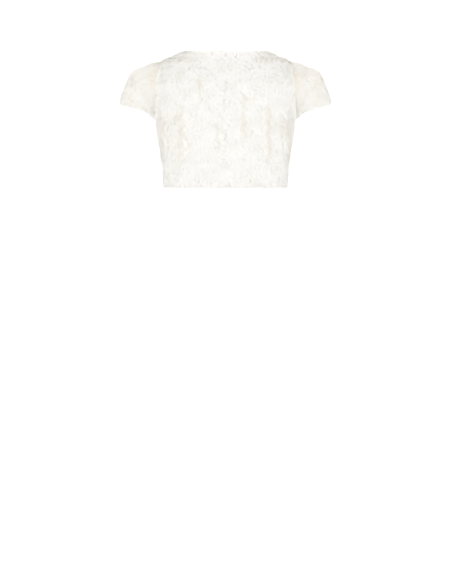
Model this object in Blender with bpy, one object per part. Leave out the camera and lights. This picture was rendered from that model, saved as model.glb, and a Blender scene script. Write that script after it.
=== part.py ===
"""Cropped fur bolero with cap sleeves: five cloth walls, worn and filled out.

Metres, +Z up. The back faces -Y, the open fronts face +Y and the wearer's left is -X.
The origin lies midway between the shoulder tops, where the wearer carries the jacket.
Each wall is backing and pile together: plain inside, with the pile's partings and
the sleeves' folds raised in its outer points.
"""

import math
from typing import NamedTuple

import bmesh
import bpy
import numpy as np

# Walls
BODY_THICKNESS = 0.014
SLEEVE_THICKNESS = 0.010
SEAM_THICKNESS = 0.0125
SEAM_GAP = 0.0003
SEAM_BLEND = 0.25
EDGE_SHARES = (0.84, 0.97)

# Heights of the inside of the cloth
HEM_SIDE = -0.3125
HEM_BACK_DIP = 0.0057
UNDERARM = -0.138
SHOULDER_TIP = -0.012
NECK_POINT = 0.0175
NECK_BACK_DIP = 0.0048
NECK_DIP_STARTS = -0.060

# Depth of the armhole behind and before the middle plane
ARMHOLE_BACK = 0.052
ARMHOLE_FRONT = 0.050

# Steps of the grids
HEM_ROWS = 12
ARMHOLE_ROWS = 16
SHOULDER_ROWS = 4
BACK_COLUMNS = 40
FRONT_COLUMNS = 16
SLEEVE_STEPS = 14
MITRE_COLUMNS = 4
MITRE_ROWS = 3
SMALL_ANGLE = 0.01
SMALL_HEIGHT = 0.001
SMALL_SHARE = 0.01
WELD = 1e-6
SHARP_ANGLE = math.radians(50.0)


class Section(NamedTuple):
    """Level section through the inside of the body."""

    height: float
    half_width: float
    back: float
    front: float
    squareness: float


BODY_SECTIONS = (
    Section(-0.330, 0.1425, 0.0935, 0.1120, 2.3),
    Section(-0.245, 0.1475, 0.0980, 0.1180, 2.3),
    Section(-0.195, 0.1550, 0.1040, 0.1210, 2.3),
    Section(-0.140, 0.1630, 0.1090, 0.1180, 2.4),
    Section(-0.100, 0.1690, 0.1090, 0.1100, 2.7),
    Section(-0.060, 0.1700, 0.1040, 0.0990, 2.7),
    Section(-0.030, 0.1630, 0.0960, 0.0860, 2.3),
    Section(-0.012, 0.1552, 0.0890, 0.0760, 1.95),
    Section(0.002, 0.1285, 0.0830, 0.0680, 1.9),
    Section(0.0175, 0.0985, 0.0760, 0.0600, 2.0),
)


class FrontEdge(NamedTuple):
    """Where a row that leaves the side at one height ends on the front edge."""

    side_height: float
    height: float
    out: float


FRONT_EDGE = (
    FrontEdge(-0.3125, -0.2970, 0.1000),
    FrontEdge(-0.2980, -0.2850, 0.0800),
    FrontEdge(-0.2690, -0.2560, 0.0620),
    FrontEdge(-0.2200, -0.2150, 0.0530),
    FrontEdge(-0.1380, -0.1600, 0.0480),
    FrontEdge(-0.0730, -0.1150, 0.0490),
    FrontEdge(-0.0120, -0.0780, 0.0530),
    FrontEdge(0.0175, -0.0600, 0.0580),
)
NECKLINE_CURVE = 2.0


class Ring(NamedTuple):
    """Ring of the inside of the right sleeve, from its top point to its underarm point."""

    share: float
    top_out: float
    top_height: float
    under_out: float
    under_height: float
    back: float
    front: float
    back_drop: float
    front_drop: float


SLEEVE_RINGS = (
    Ring(0.00, 0.1552, -0.0120, 0.1630, -0.1380, 0.0520, 0.0500, 0.000, 0.000),
    Ring(0.12, 0.1740, -0.0115, 0.1648, -0.1368, 0.0540, 0.0520, 0.000, 0.000),
    Ring(0.32, 0.2030, -0.0205, 0.1683, -0.1345, 0.0570, 0.0550, 0.001, 0.000),
    Ring(0.46, 0.2255, -0.0290, 0.1705, -0.1325, 0.0585, 0.0570, 0.002, 0.000),
    Ring(0.56, 0.2345, -0.0410, 0.1722, -0.1310, 0.0590, 0.0575, 0.003, -0.001),
    Ring(0.72, 0.2440, -0.0640, 0.1746, -0.1290, 0.0585, 0.0575, 0.005, -0.002),
    Ring(0.88, 0.2530, -0.0870, 0.1768, -0.1268, 0.0575, 0.0570, 0.007, -0.002),
    Ring(1.00, 0.2575, -0.1055, 0.1785, -0.1248, 0.0565, 0.0565, 0.008, -0.002),
)


class Parting(NamedTuple):
    """Trough where the pile parts, running down the body."""

    out: float
    top: float
    bottom: float
    half_width: float
    depth: float


BACK_PARTINGS = (
    Parting(-0.104, -0.110, -0.250, 0.010, 0.0040),
    Parting(0.102, -0.110, -0.250, 0.010, 0.0040),
    Parting(0.044, -0.080, -0.215, 0.010, 0.0040),
    Parting(-0.018, -0.155, -0.225, 0.010, 0.0030),
    Parting(-0.140, -0.120, -0.225, 0.009, 0.0030),
    Parting(0.140, -0.120, -0.225, 0.009, 0.0030),
    Parting(-0.062, -0.045, -0.110, 0.010, 0.0020),
)
FRONT_PARTINGS = (
    Parting(0.118, -0.120, -0.240, 0.010, 0.0030),
    Parting(0.078, -0.150, -0.260, 0.009, 0.0025),
)
PARTING_FULL = 0.6
PARTING_FADE = 0.6
LEDGE_HEIGHT = -0.243
LEDGE_STEP = 0.0014
LEDGE_SOFTNESS = 0.008


class Lump(NamedTuple):
    """Wave of the pile's surface over the body: its height and two wavelengths."""

    rise: float
    across: float
    up: float
    start: float


PILE_LUMPS = (
    Lump(0.0009, 0.083, 0.061, 0.4),
    Lump(0.0007, 0.047, 0.072, 2.1),
    Lump(0.0006, 0.061, 0.039, 4.0),
)


class Fold(NamedTuple):
    """Soft fold of a sleeve that fans out from the underarm, raised or sunk."""

    share: float
    half_share: float
    rise: float
    reach: float


SLEEVE_FOLDS = (
    Fold(0.16, 0.11, -0.0035, 2.3),
    Fold(0.36, 0.10, 0.0022, 2.0),
    Fold(0.52, 0.08, -0.0018, 1.7),
    Fold(0.66, 0.08, 0.0018, 1.8),
    Fold(0.80, 0.07, -0.0018, 1.5),
)
FOLD_FADE = 1.2


class Finish(NamedTuple):
    """Colour and roughness of one piece's material."""

    colour: tuple
    roughness: float


BODY_FINISH = Finish((0.93, 0.92, 0.88), 0.95)
FRONT_FINISH = Finish((0.92, 0.91, 0.87), 0.95)
SLEEVE_FINISH = Finish((0.90, 0.89, 0.84), 0.90)


def monotone(places: list, values: list, place: float) -> float:
    """Value at a place on the smooth curve through a table, which never overshoots its rows."""
    steps = np.diff(places)
    slopes = np.diff(values) / steps
    tangents = np.zeros(len(places))
    tangents[0], tangents[-1] = slopes[0], slopes[-1]
    for i in range(1, len(places) - 1):
        if slopes[i - 1] * slopes[i] > 0.0:
            tangents[i] = 2.0 / (1.0 / slopes[i - 1] + 1.0 / slopes[i])
    place = min(max(place, places[0]), places[-1])
    i = min(int(np.searchsorted(places, place, side="right")) - 1, len(steps) - 1)
    t = (place - places[i]) / steps[i]
    return (
        (1 + 2 * t) * (1 - t) ** 2 * values[i]
        + t * (1 - t) ** 2 * steps[i] * tangents[i]
        + t**2 * (3 - 2 * t) * values[i + 1]
        + t**2 * (t - 1) * steps[i] * tangents[i + 1]
    )


def read_table(table: tuple, place: float) -> list:
    """All columns of a table at a place in its first column."""
    columns = list(zip(*table))
    return [monotone(columns[0], column, place) for column in columns[1:]]


def bell(distance: float, half_width: float) -> float:
    """1 in the middle of a fold, falling softly to 0 past its half width."""
    return math.exp(-((distance / half_width) ** 2))


def soft_step(value: float) -> float:
    """0 below 0, 1 above 1 and smooth between."""
    value = min(max(value, 0.0), 1.0)
    return value * value * (3.0 - 2.0 * value)


def unit(vector: np.ndarray) -> np.ndarray:
    """Vector of length 1."""
    return vector / np.linalg.norm(vector)


def body_point(angle: float, height: float) -> np.ndarray:
    """Point inside the body's cloth: angle 0 is centre back, a right angle the right side."""
    half_width, back, front, squareness = read_table(BODY_SECTIONS, height)
    power = 2.0 / squareness
    sine, cosine = math.sin(angle), math.cos(angle)
    depth = back if cosine > 0.0 else front
    x = math.copysign(half_width * abs(sine) ** power, sine)
    y = -math.copysign(depth * abs(cosine) ** power, cosine)
    return np.array((x, y, height))


def body_normal(angle: float, height: float) -> np.ndarray:
    """Direction out of the body's cloth."""
    around = body_point(angle + SMALL_ANGLE, height) - body_point(angle - SMALL_ANGLE, height)
    up = body_point(angle, height + SMALL_HEIGHT) - body_point(angle, height - SMALL_HEIGHT)
    return unit(np.cross(around, up))


def angle_at_depth(height: float, depth: float, in_front: bool) -> float:
    """Angle at which the right side of a section is this deep behind or before the middle."""
    _, back, front, squareness = read_table(BODY_SECTIONS, height)
    cosine = (depth / (front if in_front else back)) ** (squareness / 2.0)
    return math.acos(-cosine if in_front else cosine)


def angle_at_out(height: float, out: float) -> float:
    """Angle at which a section's front is this far out from the middle."""
    half_width, _, _, squareness = read_table(BODY_SECTIONS, height)
    return math.pi - math.asin((out / half_width) ** (squareness / 2.0))


def armhole_height(turn: float) -> float:
    """Height on the armhole: turn 0 is its top, a half turn its bottom."""
    middle = (SHOULDER_TIP + UNDERARM) / 2.0
    return middle + (SHOULDER_TIP - UNDERARM) / 2.0 * math.cos(turn)


def armhole_angle(turn: float) -> float:
    """The body's angle on the right armhole, behind for the first half turn."""
    in_front = turn > math.pi
    depth = (ARMHOLE_FRONT if in_front else ARMHOLE_BACK) * abs(math.sin(turn))
    return angle_at_depth(armhole_height(turn), max(depth, SEAM_GAP / 2.0), in_front)


def armhole_point(turn: float) -> np.ndarray:
    """Point on the inside edge of the right armhole."""
    return body_point(armhole_angle(turn), armhole_height(turn))


def ring_point(turn: float, share: float) -> np.ndarray:
    """Point on a ring of the right sleeve's inside, before it meets the armhole."""
    top_x, top_z, low_x, low_z, back, front, back_drop, front_drop = read_table(
        SLEEVE_RINGS, share
    )
    rise = (1.0 + math.cos(turn)) / 2.0
    sine = math.sin(turn)
    depth, drop = (back, back_drop) if sine > 0.0 else (front, front_drop)
    return np.array(
        (
            low_x + (top_x - low_x) * rise,
            -depth * sine,
            low_z + (top_z - low_z) * rise - drop * abs(sine),
        )
    )


def sleeve_point(turn: float, share: float) -> np.ndarray:
    """Point inside the right sleeve's cloth, from the armhole at share 0 to the cuff at 1."""
    fit = armhole_point(turn) - ring_point(turn, 0.0)
    return ring_point(turn, share) + fit * (1.0 - share) ** 2


def sleeve_normal(turn: float, share: float) -> np.ndarray:
    """Direction out of the right sleeve's cloth."""
    near = max(share - SMALL_SHARE, 0.0)
    far = min(share + SMALL_SHARE, 1.0)
    around = ring_turn(turn + SMALL_ANGLE, share) - ring_turn(turn - SMALL_ANGLE, share)
    along = sleeve_point(turn, far) - sleeve_point(turn, near)
    return unit(np.cross(around, along))


def ring_turn(turn: float, share: float) -> np.ndarray:
    """Sleeve point for a turn that may lie a little outside one round."""
    return sleeve_point(turn % (2.0 * math.pi), share)


def armhole_mitre(turn: float) -> np.ndarray:
    """Way from the inner to the outer edge of the armhole, shared by body and sleeve."""
    body = body_normal(armhole_angle(turn), armhole_height(turn))
    middle = unit(body + sleeve_normal(turn, 0.0))
    return middle * SEAM_THICKNESS / float(middle @ body)


class Row(NamedTuple):
    """Row of a body panel: its height at the side and, on the armhole, its turn."""

    height: float
    turn: float | None


def side_rows() -> list:
    """Rows of the body panels from the hem up to the neck point."""
    rows = []
    for i in range(HEM_ROWS):
        rows.append(Row(HEM_SIDE + (UNDERARM - HEM_SIDE) * i / HEM_ROWS, None))
    for i in range(ARMHOLE_ROWS + 1):
        turn = math.pi * (1.0 - i / ARMHOLE_ROWS)
        rows.append(Row(armhole_height(turn), turn))
    for i in range(1, SHOULDER_ROWS + 1):
        rows.append(Row(SHOULDER_TIP + (NECK_POINT - SHOULDER_TIP) * i / SHOULDER_ROWS, None))
    return rows


def side_depth(row: Row, in_front: bool) -> float:
    """How deep behind or before the middle plane a row's outer end lies."""
    if row.turn is None:
        return SEAM_GAP / 2.0
    depth = ARMHOLE_FRONT if in_front else ARMHOLE_BACK
    return max(depth * math.sin(row.turn), SEAM_GAP / 2.0)


def edge_share(steps: int) -> float:
    """Share of the thickness that is left this many grid steps from a free edge."""
    return EDGE_SHARES[steps] if steps < len(EDGE_SHARES) else 1.0


def body_relief(point: np.ndarray, partings: tuple) -> float:
    """How far the pile rises or sinks at a point of the body."""
    rise = 0.0
    for parting in partings:
        middle = (parting.top + parting.bottom) / 2.0
        half_length = (parting.top - parting.bottom) / 2.0
        from_middle = abs(point[2] - middle) / half_length
        ends = 1.0 - soft_step((from_middle - PARTING_FULL) / PARTING_FADE)
        rise -= parting.depth * bell(point[0] - parting.out, parting.half_width) * ends
    for lump in PILE_LUMPS:
        across = math.cos(2.0 * math.pi * point[0] / lump.across)
        up = math.sin(2.0 * math.pi * point[2] / lump.up + lump.start)
        rise += lump.rise * across * up
    step = soft_step((point[2] - LEDGE_HEIGHT) / LEDGE_SOFTNESS + 0.5)
    return rise + LEDGE_STEP * (step - 0.5)


def seam_hold(index: int, from_side: int) -> float:
    """How far the wall of a body panel follows the armhole's mitre at a grid point."""
    rows_away = max(HEM_ROWS - index, index - HEM_ROWS - ARMHOLE_ROWS, 0)
    along = soft_step(1.0 - rows_away / MITRE_ROWS)
    return along * soft_step(1.0 - from_side / MITRE_COLUMNS)


def nearest_turn(index: int, in_front: bool) -> float:
    """Turn of the right armhole that is nearest to a row."""
    step = min(max(index - HEM_ROWS, 0), ARMHOLE_ROWS)
    turn = math.pi * (1.0 - step / ARMHOLE_ROWS)
    return 2.0 * math.pi - turn if in_front else turn


def body_offset(
    angle: float, height: float, index: int, from_side: int, thickness: float
) -> np.ndarray:
    """Way from a point inside the right half's cloth to the pile's surface."""
    plain = body_normal(angle, height) * thickness
    held = seam_hold(index, from_side)
    if held == 0.0:
        return plain
    turn = nearest_turn(index, angle > math.pi / 2.0)
    return plain * (1.0 - held) + armhole_mitre(turn) * held


def back_grids() -> tuple:
    """Inner and outer points of the back, row by row from the hem."""
    rows = side_rows()
    inner = np.empty((len(rows), BACK_COLUMNS + 1, 3))
    outer = np.empty_like(inner)
    for i, row in enumerate(rows):
        edge = angle_at_depth(row.height, side_depth(row, False), False)
        hem = HEM_BACK_DIP * (1.0 - soft_step(i / HEM_ROWS))
        neck = NECK_BACK_DIP * soft_step(
            (row.height - NECK_DIP_STARTS) / (NECK_POINT - NECK_DIP_STARTS)
        )
        for j in range(BACK_COLUMNS + 1):
            across = 2.0 * j / BACK_COLUMNS - 1.0
            height = row.height - (hem + neck) * (1.0 - across * across)
            point = body_point(edge * across, height)
            thickness = BODY_THICKNESS * edge_share(min(i, len(rows) - 1 - i))
            thickness += body_relief(point, BACK_PARTINGS)
            from_side = min(j, BACK_COLUMNS - j)
            offset = body_offset(edge * abs(across), height, i, from_side, thickness)
            offset[0] = math.copysign(offset[0], across)
            inner[i, j] = point
            outer[i, j] = point + offset
    return inner, outer


def scooped_angle(side_out: float, end_out: float, height: float, across: float) -> float:
    """Angle of a shoulder row's point, so that the neckline runs forward and then inward."""
    out = end_out + (side_out - end_out) * math.cos(across * math.pi / 2.0)
    return angle_at_out(height, out)


def front_grids() -> tuple:
    """Inner and outer points of the right front, row by row from the hem."""
    rows = side_rows()
    inner = np.empty((len(rows), FRONT_COLUMNS + 1, 3))
    outer = np.empty_like(inner)
    for i, row in enumerate(rows):
        start = angle_at_depth(row.height, side_depth(row, True), True)
        end_height, out = read_table(FRONT_EDGE, row.height)
        end = angle_at_out(end_height, out)
        side_out = body_point(start, row.height)[0]
        shoulder = max(i - HEM_ROWS - ARMHOLE_ROWS, 0) / SHOULDER_ROWS
        for j in range(FRONT_COLUMNS + 1):
            across = j / FRONT_COLUMNS
            height = row.height + (end_height - row.height) * across**NECKLINE_CURVE
            angle = start + (end - start) * across
            if shoulder > 0.0 and j > 0:
                angle += (scooped_angle(side_out, out, height, across) - angle) * shoulder
            point = body_point(angle, height)
            steps = min(i, len(rows) - 1 - i, FRONT_COLUMNS - j)
            thickness = BODY_THICKNESS * edge_share(steps)
            thickness += body_relief(point, FRONT_PARTINGS)
            inner[i, j] = point
            outer[i, j] = point + body_offset(angle, height, i, j, thickness)
    return inner, outer


def sleeve_relief(turn: float, share: float) -> float:
    """How far a fold raises or sinks the right sleeve's surface."""
    side = min(turn, 2.0 * math.pi - turn)
    rise = 0.0
    for fold in SLEEVE_FOLDS:
        reach = 1.0 - soft_step((abs(2.0 * side - math.pi) - fold.reach) / FOLD_FADE)
        rise += fold.rise * bell(share - fold.share, fold.half_share) * reach
    return rise


def sleeve_grids() -> tuple:
    """Inner and outer points of the right sleeve, ring by ring from the armhole."""
    turns = 2 * ARMHOLE_ROWS
    inner = np.empty((SLEEVE_STEPS + 1, turns + 1, 3))
    outer = np.empty_like(inner)
    for j in range(turns + 1):
        turn = 2.0 * math.pi * (j % turns) / turns
        start = sleeve_point(turn, 0.0)
        clear = SEAM_GAP * unit(sleeve_point(turn, SMALL_SHARE) - start)
        for i in range(SLEEVE_STEPS + 1):
            share = i / SLEEVE_STEPS
            if i == 0:
                inner[i, j] = start + clear
                outer[i, j] = start + clear + armhole_mitre(turn)
                continue
            blend = soft_step(share / SEAM_BLEND)
            thickness = SEAM_THICKNESS + (SLEEVE_THICKNESS - SEAM_THICKNESS) * blend
            thickness *= edge_share(SLEEVE_STEPS - i)
            thickness += sleeve_relief(turn, share)
            inner[i, j] = sleeve_point(turn, share)
            outer[i, j] = inner[i, j] + sleeve_normal(turn, share) * thickness
    return inner, outer


def mirrored(grids: tuple) -> tuple:
    """The same grids on the left side."""
    return tuple(grid * np.array((-1.0, 1.0, 1.0)) for grid in grids)


def new_material(name: str, finish: Finish) -> bpy.types.Material:
    """Principled material of one piece."""
    material = bpy.data.materials.new(name)
    material.use_nodes = True
    shader = material.node_tree.nodes["Principled BSDF"]
    shader.inputs["Base Color"].default_value = (*finish.colour, 1.0)
    shader.inputs["Roughness"].default_value = finish.roughness
    shader.inputs["Metallic"].default_value = 0.0
    return material


def add_wall(
    name: str, grids: tuple, finish: Finish, into: bpy.types.Collection, tube: bool = False
) -> bpy.types.Object:
    """Closed cloth wall between an inner and an outer grid of points.

    Args:
        name: Name of the object.
        grids: Inner and outer points, each as rows of columns.
        finish: The piece's colour and roughness.
        into: Collection that takes the object.
        tube: Whether the last column closes on the first.

    Returns:
        The new object.
    """
    inner, outer = (grid.reshape(-1, 3) for grid in grids)
    rows, columns = grids[0].shape[0] - 1, grids[0].shape[1] - 1
    shape = bmesh.new()
    place = shape.verts.layers.int.new("place")
    bmesh.ops.create_grid(shape, x_segments=columns, y_segments=rows, size=0.5)
    shape.verts.ensure_lookup_table()
    for index, vert in enumerate(shape.verts):
        vert[place] = index
        vert.co = inner[index]
    if tube:
        bmesh.ops.remove_doubles(shape, verts=shape.verts[:], dist=WELD)
    raised = bmesh.ops.extrude_face_region(
        shape, geom=shape.faces[:], use_keep_orig=True
    )
    for vert in raised["geom"]:
        if isinstance(vert, bmesh.types.BMVert):
            vert.co = outer[vert[place]]
    bmesh.ops.recalc_face_normals(shape, faces=shape.faces[:])
    mesh = bpy.data.meshes.new(name)
    shape.to_mesh(mesh)
    shape.free()
    mesh.shade_smooth()
    mesh.set_sharp_from_angle(angle=SHARP_ANGLE)
    mesh.materials.append(new_material(name + "_cloth", finish))
    wall = bpy.data.objects.new(name, mesh)
    into.objects.link(wall)
    return wall


def main() -> None:
    """Clear the scene and build the five walls of the jacket."""
    for old in list(bpy.data.objects):
        bpy.data.objects.remove(old, do_unlink=True)
    jacket = bpy.data.collections.new("bolero_jacket")
    bpy.context.scene.collection.children.link(jacket)
    fronts, sleeves = front_grids(), sleeve_grids()
    add_wall("back", back_grids(), BODY_FINISH, jacket)
    add_wall("front_right", fronts, FRONT_FINISH, jacket)
    add_wall("front_left", mirrored(fronts), FRONT_FINISH, jacket)
    add_wall("sleeve_right", sleeves, SLEEVE_FINISH, jacket, tube=True)
    add_wall("sleeve_left", mirrored(sleeves), SLEEVE_FINISH, jacket, tube=True)


main()
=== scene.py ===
"""Looks of a cropped fur bolero with cap sleeves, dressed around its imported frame.

Metres, +Z up. The back faces -Y, the open fronts face +Y and the wearer's left is -X.
Each panel is a thin backing on its solid's inner face. The pile stands on the backing
as gathered strands and reaches as far as the solid does.
"""

import logging
import math
from abc import ABC, abstractmethod
from collections.abc import Callable
from dataclasses import dataclass, field
from enum import Enum
from typing import NamedTuple

import bmesh
import bpy
import numpy as np
from mathutils.kdtree import KDTree
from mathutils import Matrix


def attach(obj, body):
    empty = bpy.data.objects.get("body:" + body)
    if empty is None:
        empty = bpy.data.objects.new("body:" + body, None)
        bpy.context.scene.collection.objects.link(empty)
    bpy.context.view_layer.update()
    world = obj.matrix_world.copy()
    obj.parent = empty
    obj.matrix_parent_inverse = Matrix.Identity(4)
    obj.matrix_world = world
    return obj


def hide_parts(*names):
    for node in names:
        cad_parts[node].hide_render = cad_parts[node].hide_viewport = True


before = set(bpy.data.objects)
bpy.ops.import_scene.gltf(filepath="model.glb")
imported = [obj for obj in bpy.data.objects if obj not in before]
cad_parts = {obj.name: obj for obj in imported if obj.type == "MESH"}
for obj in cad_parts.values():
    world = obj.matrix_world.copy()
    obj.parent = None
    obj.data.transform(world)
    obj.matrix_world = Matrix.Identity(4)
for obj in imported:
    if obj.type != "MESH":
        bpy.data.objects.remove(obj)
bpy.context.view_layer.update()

log = logging.getLogger("bolero")

Array = np.ndarray
FULL_TURN = 2.0 * math.pi
TINY = 1e-12


class Side(Enum):
    """Which side of the jacket a panel is on."""

    BOTH = "both"
    RIGHT = "right"
    LEFT = "left"


class Edge(Enum):
    """An edge of a panel that hangs free."""

    LOW = "low"
    HIGH = "high"
    END = "end"


class Places(NamedTuple):
    """Places on a panel, as shares from 0 to 1 across it and up it."""

    across: Array
    up: Array


class Section(NamedTuple):
    """Level section through the inside of the body."""

    height: float
    half_width: float
    back: float
    front: float
    squareness: float


class FrontEdge(NamedTuple):
    """Where a row that leaves the side at one height ends on the front edge."""

    side_height: float
    height: float
    out: float


class Ring(NamedTuple):
    """Ring of the inside of the right sleeve, from its top point to its underarm point."""

    share: float
    top_out: float
    top_height: float
    under_out: float
    under_height: float
    back: float
    front: float
    back_drop: float
    front_drop: float


class Parting(NamedTuple):
    """Trough where the pile parts, running down the body."""

    out: float
    top: float
    bottom: float
    depth: float
    half_width: float = 0.0045
    sway: float = 0.0025


class Lump(NamedTuple):
    """Wave of the pile's surface over the body: its height, two wavelengths and start."""

    rise: float
    across: float
    up: float
    start: float


class Fold(NamedTuple):
    """Soft fold of a sleeve that fans out from the underarm, raised or sunk."""

    share: float
    half_share: float
    rise: float
    reach: float


def bell(distance: Array, half_width: float) -> Array:
    """1 in the middle, falling softly to 0 past the half width."""
    return np.exp(-((distance / half_width) ** 2))


def swell(away: Array) -> Array:
    """0 on a line, 1 to its right and -1 to its left, and 0 again farther out."""
    return away * np.exp(1.0 - away**2)


def soft_step(value: Array) -> Array:
    """0 below 0, 1 above 1 and smooth between."""
    value = np.clip(value, 0.0, 1.0)
    return value * value * (3.0 - 2.0 * value)


def unit(vectors: Array) -> Array:
    """Vectors of length 1."""
    return vectors / np.maximum(np.linalg.norm(vectors, axis=-1, keepdims=True), TINY)


def scaled(vectors: Array, amounts: Array) -> Array:
    """Each vector times its own amount."""
    return vectors * np.asarray(amounts)[..., None]


def mixed(first: Array, second: Array, share: Array) -> Array:
    """The first vectors where the share is 0, the second where it is 1."""
    return first + scaled(second - first, share)


def along_cloth(way: Array, normal: Array) -> Array:
    """Directions along the cloth that come nearest to these ways."""
    return unit(way - scaled(normal, (way * normal).sum(axis=-1)))


class Curve:
    """Smooth curve through one column of a table, which never overshoots its rows."""

    def __init__(self, places: tuple, values: tuple) -> None:
        """Work out the curve's slope at each row.

        Args:
            places: First column of the table, rising.
            values: The column that the curve follows.
        """
        self.places = np.array(places, float)
        self.values = np.array(values, float)
        self.steps = np.diff(self.places)
        slopes = np.diff(self.values) / self.steps
        self.tangents = np.zeros(len(places))
        self.tangents[0], self.tangents[-1] = slopes[0], slopes[-1]
        before, after = slopes[:-1], slopes[1:]
        alike = before * after > 0.0
        total = np.where(alike, before + after, 1.0)
        self.tangents[1:-1] = np.where(alike, 2.0 * before * after / total, 0.0)

    def __call__(self, place: Array) -> Array:
        """Follow the curve.

        Args:
            place: Places between the table's first row and its last.

        Returns:
            The curve's value at each place.
        """
        place = np.clip(place, self.places[0], self.places[-1])
        last = len(self.steps) - 1
        i = np.clip(np.searchsorted(self.places, place, side="right") - 1, 0, last)
        step = self.steps[i]
        t = (place - self.places[i]) / step
        return (
            (1 + 2 * t) * (1 - t) ** 2 * self.values[i]
            + t * (1 - t) ** 2 * step * self.tangents[i]
            + t**2 * (3 - 2 * t) * self.values[i + 1]
            + t**2 * (t - 1) * step * self.tangents[i + 1]
        )


def curves(table: tuple) -> list[Curve]:
    """A curve for each column of a table after its first."""
    columns = list(zip(*table))
    return [Curve(columns[0], column) for column in columns[1:]]


@dataclass
class Waves:
    """Slow, even waves through space, for changes that wander over the pile."""

    rng: np.random.Generator
    length: float
    count: int = 7
    length_range: tuple = (0.6, 1.5)

    def __post_init__(self) -> None:
        """Draw the direction, length and start of each wave."""
        way = unit(self.rng.normal(size=(self.count, 3)))
        pace = FULL_TURN / (self.length * self.rng.uniform(*self.length_range, self.count))
        self.pace = scaled(way, pace)
        self.start = self.rng.uniform(0.0, FULL_TURN, self.count)

    def __call__(self, points: Array) -> Array:
        """Height of the waves at these points, mostly between -1 and 1."""
        total = np.sin(points @ self.pace.T + self.start).sum(axis=-1)
        return math.sqrt(2.0 / self.count) * total


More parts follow.
